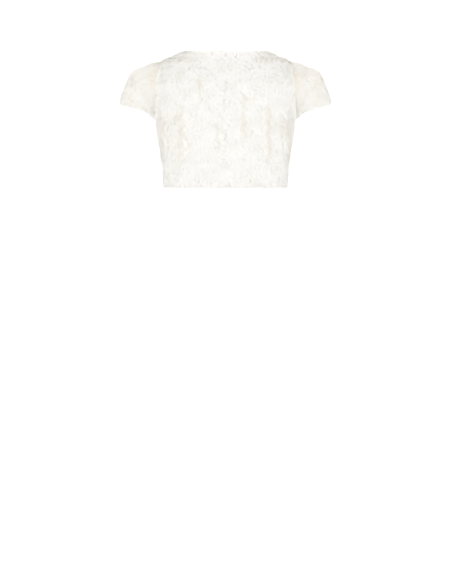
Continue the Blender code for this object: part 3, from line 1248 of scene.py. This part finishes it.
@dataclass(kw_only=True)
class FrontPanel(BodyPanel):
    """A front, from its side seam to its open edge."""

    flat: tuple = (0.183, 0.360)
    area: float = 0.0471
    across_steps: int = 40
    free: tuple = (Edge.LOW, Edge.HIGH, Edge.END)
    relief: Relief = FRONT_RELIEF
    strands: int = 21000
    half_arc: float = 0.150
    neckline_curve: float = 2.0
    edge_rows: tuple = (
        FrontEdge(-0.3125, -0.2970, 0.1000),
        FrontEdge(-0.2980, -0.2850, 0.0800),
        FrontEdge(-0.2690, -0.2560, 0.0620),
        FrontEdge(-0.2200, -0.2150, 0.0530),
        FrontEdge(-0.1380, -0.1600, 0.0480),
        FrontEdge(-0.0730, -0.1150, 0.0490),
        FrontEdge(-0.0120, -0.0780, 0.0530),
        FrontEdge(0.0175, -0.0600, 0.0580),
    )

    def __post_init__(self) -> None:
        """Mark the armhole's ends and lay curves through the front edge."""
        super().__post_init__()
        self.edge_height, self.edge_out = curves(self.edge_rows)

    def inside(self, at: Places) -> Array:
        """Find inside points of the right front.

        Args:
            at: Places on it, across from its side to its open edge.

        Returns:
            The points.
        """
        form = self.form
        row = at.up * form.rows
        side = form.row_height(row)
        start = form.angle_at_depth(side, form.side_depth(row, True), True)
        end_height, out = self.edge_height(side), self.edge_out(side)
        end = form.angle_at_out(end_height, out)
        height = side + (end_height - side) * at.across**self.neckline_curve
        angle = start + (end - start) * at.across
        side_out = form.point(start, side)[..., 0]
        swept = out + (side_out - out) * np.cos(at.across * math.pi / 2.0)
        scooped = form.angle_at_out(height, swept)
        share = np.clip(form.above_armhole(row), 0.0, 1.0) * (at.across > 0.0)
        return form.point(angle + (scooped - angle) * share, height)

    def seam_distance(self, at: Places) -> Array:
        """Distance along the cloth from the side of the front."""
        return self.half_arc * at.across

    def armhole_turn(self, row: Array) -> Array:
        """Turn on the front half of the armhole."""
        return FULL_TURN - self.form.row_turn(row)

    def outward(self, at: Places) -> Array:
        """1 all over, since a front has one armhole."""
        return np.ones_like(at.across)


@dataclass(kw_only=True)
class SleevePanel(Panel):
    """A cap sleeve, a short tube from the armhole to its hem."""

    flat: tuple = (0.365, 0.157)
    area: float = 0.029
    across_steps: int = 64
    up_steps: int = 24
    free: tuple = (Edge.HIGH,)
    tube: bool = True
    style: PileStyle = SLEEVE_STYLE
    finish: PileFinish = SLEEVE_PILE
    strands: int = 17000
    form: SleeveForm = field(default_factory=SleeveForm)
    length: float = 0.075
    thickness: float = 0.010
    seam_thickness: float = 0.0132
    seam_blend: float = 0.25
    seam_ridge: float = 0.0012
    seam_width: float = 0.012
    seam_upright: float = 0.25
    mitre_share: float = 0.30
    comb_step: float = 0.02
    fall: float = 0.35
    fold_fade: float = 1.2
    deep_fold: float = 0.0035
    # Painted shade in the sunk folds and in a warm wedge along the armhole seam below the
    # shoulder.
    sunk_shade: float = 0.4
    wedge_shade: float = 0.95
    wedge_width: float = 0.026
    wedge_narrowing: float = 0.0065
    shade_starts: float = 0.5
    shade_blend: float = 0.6
    folds: tuple = (
        Fold(0.16, 0.11, -0.0004, 2.3),
        Fold(0.36, 0.10, 0.0016, 2.0),
        Fold(0.52, 0.08, -0.0013, 1.7),
        Fold(0.66, 0.08, 0.0013, 1.8),
        Fold(0.80, 0.07, -0.0013, 1.5),
    )

    def turn(self, at: Places) -> Array:
        """Turn round the sleeve from its top, behind for the first half."""
        return FULL_TURN * (at.across % 1.0)

    def from_top(self, at: Places) -> Array:
        """Turn from the sleeve's top on the nearer way round."""
        turn = self.turn(at)
        return np.minimum(turn, FULL_TURN - turn)

    def inside(self, at: Places) -> Array:
        """Inside points of the right sleeve: across is its turn, up its share to the hem."""
        return self.form.point(self.turn(at), at.up)

    def through(self, at: Places) -> Array:
        """Lead out through the wall, mitred towards the body at the armhole.

        Args:
            at: Places on the sleeve.

        Returns:
            The way out, per metre of wall.
        """
        turn = self.turn(at)
        near = soft_step(1.0 - at.up / self.mitre_share)
        return mixed(self.form.normal(turn, at.up), self.form.mitre(turn), near)

    def comb(self, at: Places, normal: Array) -> Array:
        """Comb the pile along the sleeve and a little down.

        Args:
            at: Places on the sleeve.
            normal: Directions out of the cloth.

        Returns:
            The direction of the pile at each.
        """
        ahead = self.inside(at._replace(up=np.minimum(at.up + self.comb_step, 1.0)))
        behind = self.inside(at._replace(up=np.maximum(at.up - self.comb_step, 0.0)))
        way = unit(ahead - behind)
        way[..., 2] -= self.fall
        return along_cloth(way, normal)

    def room(self, at: Places) -> Array:
        """Distance to the sleeve's hem."""
        return self.to_edge(Edge.HIGH, at)

    def fold_rise(self, at: Places) -> Array:
        """Raise or sink the sleeve's surface over its folds.

        Args:
            at: Places on the sleeve.

        Returns:
            How far the surface is raised at each.
        """
        low = np.abs(2.0 * self.from_top(at) - math.pi)
        total = np.zeros_like(at.up)
        for fold in self.folds:
            near = bell(at.up - fold.share, fold.half_share)
            total += fold.rise * near * (1.0 - soft_step((low - fold.reach) / self.fold_fade))
        return total

    def at_seam(self, at: Places) -> Array:
        """1 on the armhole seam, falling to 0 away from it."""
        return bell(at.up * self.length, self.seam_width)

    def upright(self, at: Places) -> Array:
        """Share of its reach that the pile gives up at the armhole seam."""
        return self.seam_upright * self.at_seam(at)

    def surface(self, at: Places) -> Array:
        """Find the height of the pile's surface, thicker at the seam and over the folds.

        Args:
            at: Places on the sleeve.

        Returns:
            Its height over the inside at each.
        """
        blend = soft_step(at.up / self.seam_blend)
        plain = self.seam_thickness + (self.thickness - self.seam_thickness) * blend
        plain = plain * self.edge_share(at)
        return plain + self.fold_rise(at) + self.seam_ridge * self.at_seam(at)

    def shade(self, at: Places) -> Array:
        """Find the painted shade of the pile in a wedge below the shoulder along the armhole
        seam, and in the sunk folds.

        Args:
            at: Places on the sleeve.

        Returns:
            The shade at each, from 0 to 1.
        """
        sunk = np.clip(-self.fold_rise(at) / self.deep_fold, 0.0, 1.0)
        side = self.from_top(at)
        below = soft_step((side - self.shade_starts) / self.shade_blend)
        wedge = bell(at.up * self.length, self.wedge_width - self.wedge_narrowing * side)
        return np.clip((self.wedge_shade * wedge + self.sunk_shade * sunk) * below, 0.0, 1.0)


def link(piece: bpy.types.Object, slot: str) -> bpy.types.Object:
    """Put a finished piece into the scene on the jacket's one body.

    Args:
        piece: The piece.
        slot: Not used.

    Returns:
        The same piece.
    """
    bpy.context.scene.collection.objects.link(piece)
    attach(piece, "root")
    return piece


@dataclass
class StrandShape:
    """Flat tapered strand, from which all pile is copied."""

    segments: int = 3

    def __post_init__(self) -> None:
        """Cut the strand from a narrow grid and bring its tip to a point."""
        shape = bmesh.new()
        bmesh.ops.create_grid(shape, x_segments=1, y_segments=self.segments, size=0.5)
        end = max(vert.co.y for vert in shape.verts)
        top = [vert for vert in shape.verts if vert.co.y == end]
        bmesh.ops.pointmerge(shape, verts=top, merge_co=(0.0, end, 0.0))
        shape.verts.index_update()
        places = np.array([vert.co for vert in shape.verts])
        self.across = places[:, 0]
        self.along = np.clip(places[:, 1] + 0.5, 0.0, 1.0)
        loops = [[vert.index for vert in face.verts] for face in shape.faces]
        self.corners = np.concatenate(loops)
        self.starts = np.concatenate(([0], np.cumsum([len(loop) for loop in loops])[:-1]))
        shape.free()


class Spot(NamedTuple):
    """Roots on a panel, with the ways in which the pile stands and is combed there."""

    point: Array
    normal: Array
    comb: Array
    rise: Array
    reach: Array
    room: Array
    shade: Array


class Tufts(NamedTuple):
    """Guides that the strands around them gather towards."""

    spot: Spot
    turn: Array
    way: Array
    reach: Array
    rise: Array
    phase: Array
    tone: Array

    def picked(self, index: Array) -> "Tufts":
        """The tuft with each of these numbers."""
        spot = Spot(*(column[index] for column in self.spot))
        return Tufts(spot, *(column[index] for column in self[1:]))


@dataclass
class Pile:
    """Gathered strands that stand on one panel, made as joined meshes from arrays."""

    panel: Panel
    seed: int
    map_margin: float = 0.1

    def __post_init__(self) -> None:
        """Draw the waves that wander over the pile."""
        style = self.panel.style
        self.rng = np.random.default_rng(self.seed)
        self.slow, self.quick = (Waves(self.rng, length) for length in style.wander_lengths)
        self.cloudy = Waves(self.rng, style.tone_length)

    def spots(self, at: Places) -> Spot:
        """Read the panel where pile stands.

        Args:
            at: Places on the panel.

        Returns:
            Roots of strands with their normals, combing and room to the pile's surface.
        """
        panel, style = self.panel, self.panel.style
        through = panel.through(at)
        normal = unit(through)
        base = panel.backing_at(at) + panel.rolled(at)
        rise = panel.surface(at) - panel.trough(at) - base
        return Spot(
            point=panel.inside(at) + scaled(through, base - style.sunk),
            normal=normal,
            comb=panel.comb(at, normal),
            rise=np.maximum(rise, style.least_rise),
            reach=1.0 - panel.upright(at),
            room=panel.room(at),
            shade=panel.shade(at),
        )

    def turned(self, spot: Spot, angle: Array) -> Array:
        """The combing of these spots turned within the cloth by an angle."""
        side = np.cross(spot.comb, spot.normal)
        return scaled(spot.comb, np.cos(angle)) + scaled(side, np.sin(angle))

    def wander(self, spot: Spot) -> Array:
        """Turn the combing slowly over the panel, and apart at its partings.

        Args:
            spot: Roots of the pile.

        Returns:
            Angle of the turn at each root.
        """
        style = self.panel.style
        slow, quick = style.wander_shares
        waves = slow * self.slow(spot.point) + quick * self.quick(spot.point)
        angle = style.turn_wander * waves
        side = np.cross(spot.comb, spot.normal)[:, 0]
        return angle + style.parting_turn * self.panel.spread(spot.point) * np.sign(side)

    def trimmed(self, spot: Spot, way: Array, reach: Array) -> Array:
        """Reach of strands that are cut so that none hangs far past the hem."""
        ahead = np.maximum(self.panel.ahead(way, spot.comb), self.panel.style.least_ahead)
        return np.minimum(reach, (spot.room + self.panel.style.overhang) / ahead)

    def curve(self, spot: Spot, way: Array, reach: Array, rise: Array, along: Array) -> Array:
        """Rise from the roots, bend over, and hang where the cloth faces down.

        Args:
            spot: Roots of the strands.
            way: Direction in which each strand is combed.
            reach: How far each strand runs along the cloth.
            rise: How far each strand stands off its root.
            along: Shares of the strand's length at which points are wanted.

        Returns:
            Array of strand, share and coordinate.
        """
        style = self.panel.style
        over = reach[:, None] * along**style.lean_power
        up = rise[:, None] * (1.0 - (1.0 - along) ** style.rise_power)
        line = spot.point[:, None] + scaled(way[:, None], over)
        line = line + scaled(spot.normal[:, None], up)
        underneath = np.maximum(-spot.normal[:, 2], 0.0)
        line[..., 2] -= style.hang * underneath[:, None] * along**style.hang_power
        return line

    def tufts(self) -> Tufts:
        """Draw the tufts of the panel.

        Returns:
            The tufts.
        """
        style, rng = self.panel.style, self.rng
        count = int(self.panel.area / style.tuft_spacing**2)
        spot = self.spots(self.panel.scatter(rng, count))
        turn = self.wander(spot) + rng.normal(0.0, style.turn_tuft, count)
        way = self.turned(spot, turn)
        reach = style.reach * spot.reach * rng.uniform(*style.tuft_reach, count)
        rise = spot.rise * rng.uniform(*style.tuft_rise, count)
        phase = rng.uniform(0.0, FULL_TURN, count)
        tone = rng.uniform(0.0, 1.0, count)
        return Tufts(spot, turn, way, self.trimmed(spot, way, reach), rise, phase, tone)

    def nearest(self, tufts: Array, points: Array) -> Array:
        """Find the tuft that each strand belongs to.

        Args:
            tufts: Points of the tufts.
            points: Points of the strands.

        Returns:
            Number of the nearest tuft for each strand.
        """
        tree = KDTree(len(tufts))
        for index, point in enumerate(tufts):
            tree.insert(point, index)
        tree.balance()
        return np.array([tree.find(point)[1] for point in points])

    def lines(self, tuft: Tufts, root: Spot, along: Array) -> Array:
        """Draw the middle lines of the strands, gathered towards their tufts.

        Args:
            tuft: The tuft of each strand.
            root: Roots of the strands.
            along: Shares of the strand's length at which points are wanted.

        Returns:
            Array of strand, share and coordinate.
        """
        style, rng, count = self.panel.style, self.rng, self.panel.strands
        stray = rng.random(count) < style.flyaway
        way = self.turned(root, tuft.turn + rng.normal(0.0, style.turn_strand, count))
        reach = tuft.reach * rng.uniform(*style.strand_reach, count)
        reach = self.trimmed(root, way, reach * root.reach / tuft.spot.reach)
        rise = root.rise * rng.uniform(*style.strand_rise, count)
        rise = np.where(stray, rise + rng.uniform(*style.stray_rise, count), rise)
        gather = style.gather * rng.uniform(*style.strand_gather, count)
        gather = np.where(stray, style.stray_gather, gather)
        line = self.curve(root, way, reach, rise, along)
        pull = self.curve(tuft.spot, tuft.way, tuft.reach, tuft.rise, along)
        line = mixed(line, pull, gather[:, None] * along**style.gather_power)
        phase = tuft.phase + rng.normal(0.0, style.curl_spread, count)
        sway = style.curl * along * np.sin(style.curl_turn * along + phase[:, None])
        return line + scaled(np.cross(way, root.normal)[:, None], sway)

    def ribbons(self, line: Array, normal: Array, shape: StrandShape) -> Array:
        """Widen the lines into flat strands that face out of the cloth.

        Args:
            line: Middle lines of the strands.
            normal: Direction out of the cloth at each root.
            shape: The strand that is copied.

        Returns:
            Points of all strands.
        """
        style, rng, count = self.panel.style, self.rng, len(line)
        face = unit(normal + style.face_turn * rng.normal(size=(count, 3)))
        edge = unit(np.cross(unit(self.flow(line, shape.along)), face[:, None, :]))
        width = style.width * rng.uniform(*style.strand_width, count)[:, None]
        width = width * (1.0 - style.narrowing * shape.along)
        return line + scaled(edge, shape.across * width)

    def grow(self, shape: StrandShape) -> list[bpy.types.Object]:
        """Grow the pile.

        Args:
            shape: The strand that is copied.

        Returns:
            The new pieces, one for each band of the panel.
        """
        panel, style = self.panel, self.panel.style
        tufts = self.tufts()
        at = panel.scatter(self.rng, panel.strands)
        root = self.spots(at)
        tuft = tufts.picked(self.nearest(tufts.spot.point, root.point))
        points = self.ribbons(self.lines(tuft, root, shape.along), root.normal, shape)
        # Painted shade from the panel, plus random tone per tuft and slow random tone over the
        # pile.
        tone = root.shade + style.tone_tuft * (tuft.tone - style.tone_middle)
        tone = np.clip(tone, 0.0, 1.0) + style.tone_wander * self.cloudy(root.point)
        height = np.argsort(np.argsort(at.up)) / panel.strands
        band = (height * len(panel.bands)).astype(int)
        return [
            self.piece(panel.name + "_pile" + ending, shape, points[band == i], tone[band == i])
            for i, ending in enumerate(panel.bands)
        ]

    def flow(self, line: Array, along: Array) -> Array:
        """Follow each strand from its root to its tip.

        Args:
            line: Points of the strands.
            along: Share of the strand's length at each point.

        Returns:
            Direction of the strand at each point.
        """
        order = np.unique(along)
        level = np.searchsorted(order, along)
        first = np.array([np.flatnonzero(level == i)[0] for i in range(len(order))])
        return np.gradient(line[:, first], axis=1)[:, level]

    def piece(
        self, name: str, shape: StrandShape, points: Array, tone: Array
    ) -> bpy.types.Object:
        """Join the strands of one band into a piece.

        Args:
            name: Name of the piece.
            shape: The strand that was copied.
            points: Points of all strands.
            tone: Painted shade and random tone of each strand.

        Returns:
            The new piece.
        """
        count, size = points.shape[:2]
        mirror = self.panel.mirror
        corners = shape.corners
        if mirror[0] < 0.0:
            faces = np.split(corners, shape.starts[1:])
            corners = np.concatenate([face[::-1] for face in faces])
        mesh = bpy.data.meshes.new(name)
        mesh.vertices.add(count * size)
        mesh.vertices.foreach_set("co", (points * mirror).astype(np.float32).ravel())
        offsets = np.arange(count)[:, None]
        loops = (corners + offsets * size).ravel()
        starts = (shape.starts + offsets * len(corners)).ravel()
        mesh.loops.add(len(loops))
        mesh.loops.foreach_set("vertex_index", loops.astype(np.int32))
        mesh.polygons.add(len(starts))
        mesh.polygons.foreach_set("loop_start", starts.astype(np.int32))
        mesh.update(calc_edges=True)
        values = {"along": np.tile(shape.along, count), "shade": np.repeat(tone, size)}
        for attribute, column in values.items():
            layer = mesh.attributes.new(attribute, "FLOAT", "POINT")
            layer.data.foreach_set("value", column.astype(np.float32))
        self.add_map(mesh, shape, corners, count)
        mesh.shade_smooth()
        return link(bpy.data.objects.new(name, mesh), self.panel.finish.name)

    def add_map(
        self, mesh: bpy.types.Mesh, shape: StrandShape, corners: Array, count: int
    ) -> None:
        """Give each strand its own cell of a map, for textures baked later.

        Args:
            mesh: Mesh of joined strands.
            shape: The strand that was copied.
            corners: Its corners in the order of the mesh.
            count: Number of strands.
        """
        cells = math.ceil(math.sqrt(count))
        row, column = np.divmod(np.arange(count), cells)
        inside = np.stack((shape.across + 0.5, shape.along), axis=-1)[corners]
        inside = self.map_margin + (1.0 - 2.0 * self.map_margin) * inside
        places = (np.stack((column, row), axis=-1)[:, None, :] + inside[None]) / cells
        layer = mesh.uv_layers.new(name="OFBake")
        layer.uv.foreach_set("vector", places.astype(np.float32).ravel())


@dataclass
class Backing:
    """Closed backing of a panel, thin at its free edges and rolled out at the neckline."""

    panel: Panel
    weld: float = 1e-6
    crease: float = 50.0

    def walls(self) -> tuple[Array, Array]:
        """Lay out both sides of the backing.

        Returns:
            Its inner and its outer points, row by row.
        """
        panel = self.panel
        at = panel.lattice()
        through = panel.through(at)
        inner = panel.inside(at) + scaled(through, panel.rolled(at))
        outer = inner + scaled(through, panel.backing_at(at))
        return inner * panel.mirror, outer * panel.mirror

    def build(self) -> bpy.types.Object:
        """Build the backing as a closed wall with a map in metres of cloth.

        Returns:
            The new piece.
        """
        panel, name = self.panel, self.panel.name + "_backing"
        inner, outer = self.walls()
        shape = bmesh.new()
        place = shape.verts.layers.int.new("place")
        bmesh.ops.create_grid(
            shape, x_segments=panel.across_steps, y_segments=panel.up_steps, size=0.5
        )
        cloth = shape.loops.layers.uv.new("cloth")
        width, length = panel.flat
        for face in shape.faces:
            for loop in face.loops:
                at = loop.vert.co
                loop[cloth].uv = ((at.x + 0.5) * width, (at.y + 0.5) * length)
        for index, vert in enumerate(shape.verts):
            vert[place] = index
            vert.co = inner[index]
        if panel.tube:
            bmesh.ops.remove_doubles(shape, verts=shape.verts[:], dist=self.weld)
        raised = bmesh.ops.extrude_face_region(shape, geom=shape.faces[:], use_keep_orig=True)
        for item in raised["geom"]:
            if isinstance(item, bmesh.types.BMVert):
                item.co = outer[item[place]]
            elif isinstance(item, bmesh.types.BMFace):
                item.material_index = 1
        bmesh.ops.recalc_face_normals(shape, faces=shape.faces[:])
        mesh = bpy.data.meshes.new(name)
        shape.to_mesh(mesh)
        shape.free()
        mesh.shade_smooth()
        mesh.set_sharp_from_angle(angle=math.radians(self.crease))
        piece = link(bpy.data.objects.new(name, mesh), panel.finish.name)
        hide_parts(panel.name)
        return piece


@dataclass
class Jacket:
    """The five panels of the jacket, dressed with their backings and pile."""

    first_seed: int = 11
    strand: StrandShape = field(default_factory=StrandShape)
    materials: dict = field(default_factory=dict)

    def panels(self) -> list[Panel]:
        """Cut the pieces.

        Returns:
            The panels, in the order in which they are dressed.
        """
        sides = (Side.RIGHT, Side.LEFT)
        fronts = [FrontPanel(name="front_" + side.value, side=side) for side in sides]
        sleeves = [SleevePanel(name="sleeve_" + side.value, side=side) for side in sides]
        return [BackPanel(), *fronts, *sleeves]

    def material(self, finish: PileFinish | BackingFinish) -> bpy.types.Material:
        """The material of a finish, made once."""
        if finish.name not in self.materials:
            self.materials[finish.name] = finish.material()
        return self.materials[finish.name]

    def dress(self, panel: Panel, seed: int) -> list[bpy.types.Object]:
        """Build one panel's backing and pile.

        Args:
            panel: The cut piece.
            seed: Seed of its random draws.

        Returns:
            The new pieces.
        """
        backing = Backing(panel).build()
        for finish in (LINING, UNDERFUR):
            backing.data.materials.append(self.material(finish))
        grown = Pile(panel, seed).grow(self.strand)
        for piece in grown:
            piece.data.materials.append(self.material(panel.finish))
        return [*grown, backing]


@dataclass
class Studio:
    """Pale floor, soft even light and the camera."""

    floor_height: float = -1.40
    floor_half: float = 9.0
    floor_squares: int = 8
    floor_dark: tuple = (0.97, 0.97, 0.97)
    floor_light: tuple = (0.975, 0.975, 0.975)
    floor_scale: float = 0.7
    floor_roughness: float = 0.9
    floor_specular: float = 0.1
    level_light: tuple = (1.0, 1.0, 1.0)
    high_light: tuple = (0.92, 0.92, 0.925)
    sky_ends: tuple = (0.10, 0.85)
    sky_strength: float = 1.18
    key_turn: tuple = (70.0, 0.0, -3.0)
    key_strength: float = 0.15
    key_spread: float = 90.0
    bounces: int = 24
    soft_bounces: int = 20
    distance: float = 5.0
    frame_height: float = 1.46
    camera_out: float = 0.00125
    camera_height: float = -0.575
    sensor: float = 36.0

    def floor(self) -> None:
        """Lay the pale floor far below the jacket."""
        shape = bmesh.new()
        squares = self.floor_squares
        bmesh.ops.create_grid(
            shape, x_segments=squares, y_segments=squares, size=self.floor_half
        )
        bmesh.ops.translate(shape, verts=shape.verts[:], vec=(0.0, 0.0, self.floor_height))
        mesh = bpy.data.meshes.new("floor")
        shape.to_mesh(mesh)
        shape.free()
        recipe = Recipe(bpy.data.materials.new("floor_paper"))
        cloud = recipe.noise(self.floor_scale)
        paper = {
            "Base Color": recipe.ramp(cloud, (self.floor_dark, self.floor_light)),
            "Roughness": self.floor_roughness,
            "Specular IOR Level": self.floor_specular,
        }
        mesh.materials.append(recipe.material(paper))
        floor = bpy.data.objects.new("floor", mesh)
        bpy.context.scene.collection.objects.link(floor)

    def light(self) -> None:
        """Light the jacket from all round, with a weak, wide light from the camera's side."""
        scene = bpy.context.scene
        scene.world = bpy.data.worlds.new("studio")
        recipe = Recipe(scene.world)
        place = recipe.add("TexCoord").outputs["Generated"]
        height = recipe.add("SeparateXYZ", {"Vector": place}).outputs["Z"]
        sky = recipe.ramp(height, (self.level_light, self.high_light), self.sky_ends, "EASE")
        background = recipe.tree.nodes["Background"]
        recipe.fill(background, {"Color": sky, "Strength": self.sky_strength})
        data = bpy.data.lights.new("key", "SUN")
        data.energy = self.key_strength
        data.angle = math.radians(self.key_spread)
        key = bpy.data.objects.new("key", data)
        key.rotation_euler = [math.radians(turn) for turn in self.key_turn]
        scene.collection.objects.link(key)
        scene.cycles.max_bounces = self.bounces
        scene.cycles.diffuse_bounces = self.soft_bounces

    def camera(self) -> None:
        """Set the camera level behind the jacket."""
        scene = bpy.context.scene
        data = bpy.data.cameras.new("camera")
        data.sensor_width = self.sensor
        data.lens = self.distance * self.sensor / self.frame_height
        camera = bpy.data.objects.new("camera", data)
        camera.location = (self.camera_out, -self.distance, self.camera_height)
        camera.rotation_euler = (math.pi / 2.0, 0.0, 0.0)
        scene.collection.objects.link(camera)
        scene.camera = camera
        scene.view_settings.view_transform = "Standard"


def main() -> None:
    """Build the jacket's looks and the studio around them."""
    jacket = Jacket()
    for seed, panel in enumerate(jacket.panels(), jacket.first_seed):
        for piece in jacket.dress(panel, seed):
            log.info("%s: %d faces", piece.name, len(piece.data.polygons))
    studio = Studio()
    studio.floor()
    studio.light()
    studio.camera()


if __name__ == "__main__":
    logging.basicConfig(level=logging.INFO)
    main()
